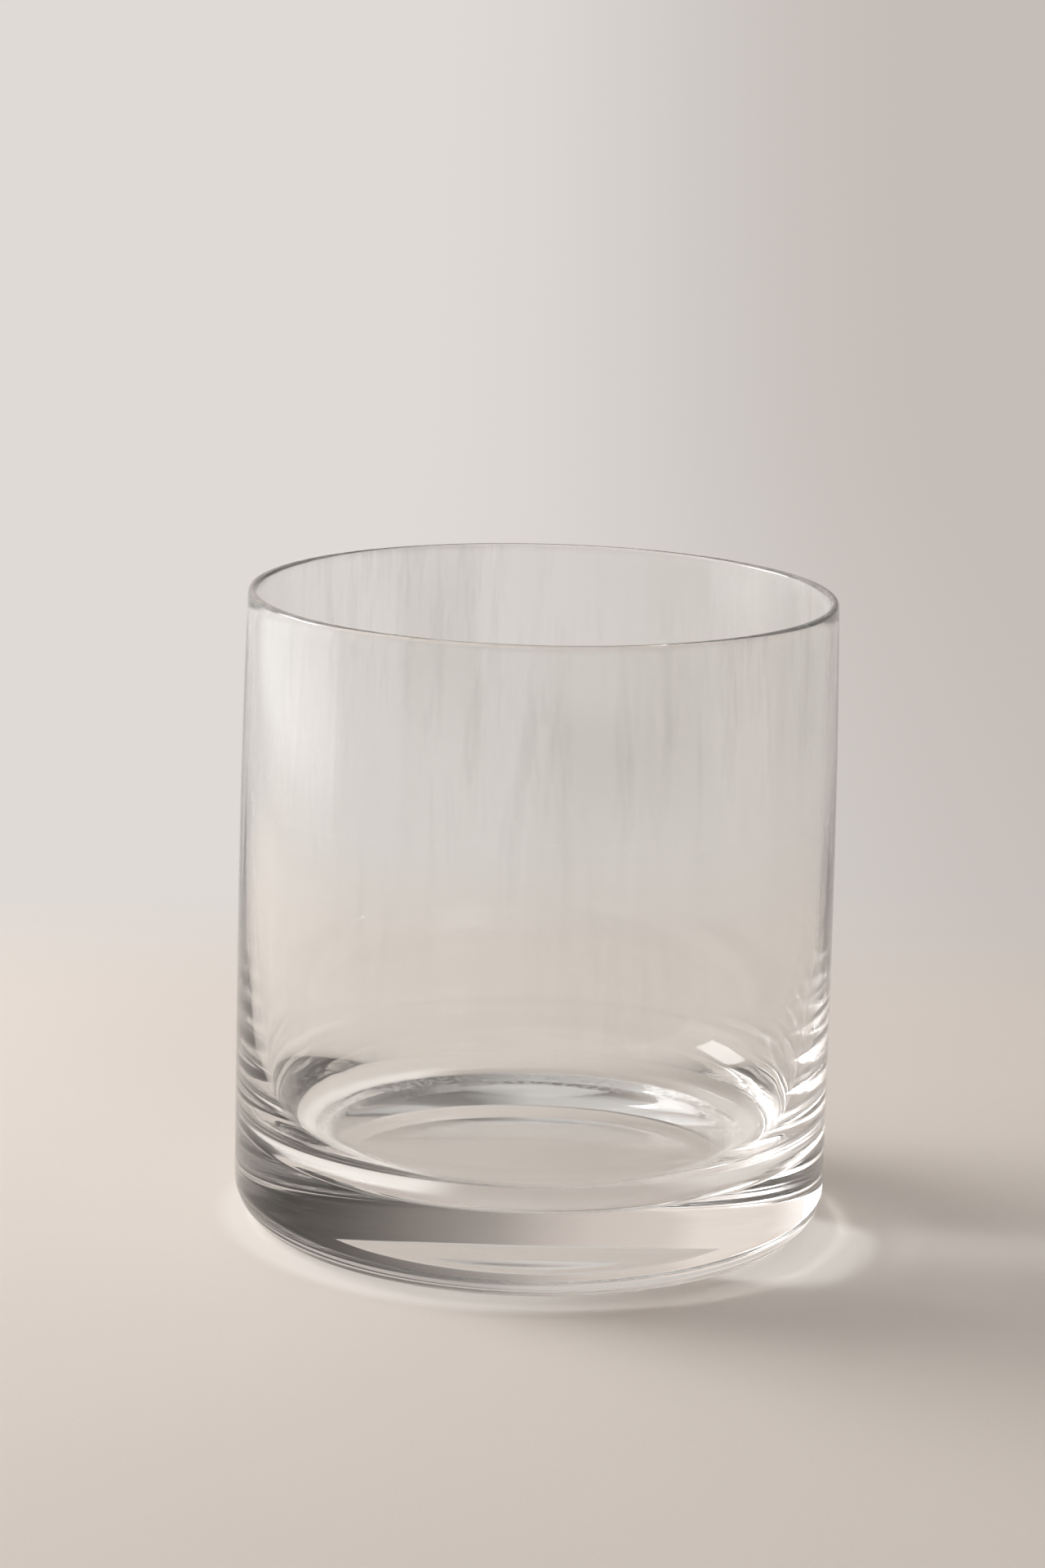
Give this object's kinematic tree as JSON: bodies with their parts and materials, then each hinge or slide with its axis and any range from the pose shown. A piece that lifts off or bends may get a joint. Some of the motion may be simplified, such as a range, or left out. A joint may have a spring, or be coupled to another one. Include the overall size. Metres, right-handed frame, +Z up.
{
  "type": "whisky tumbler",
  "caption": "Straight-sided clear glass whisky tumbler with a thin fire-polished rim and a heavy base with a rounded inner corner, for holding a drink.",
  "frame": {"origin": "centre of the foot, on the surface that the tumbler stands on", "axes": "+Z up along the tumbler's axis, from the foot towards the rim; X and Y are any two directions across it, since the tumbler is round"},
  "size_m": [0.084, 0.084, 0.09],
  "materials": {
    "clear_glass": "polished clear glass"
  },
  "bodies": {
    "root": {"tumbler_body": "clear_glass"}
  },
  "joints": []
}
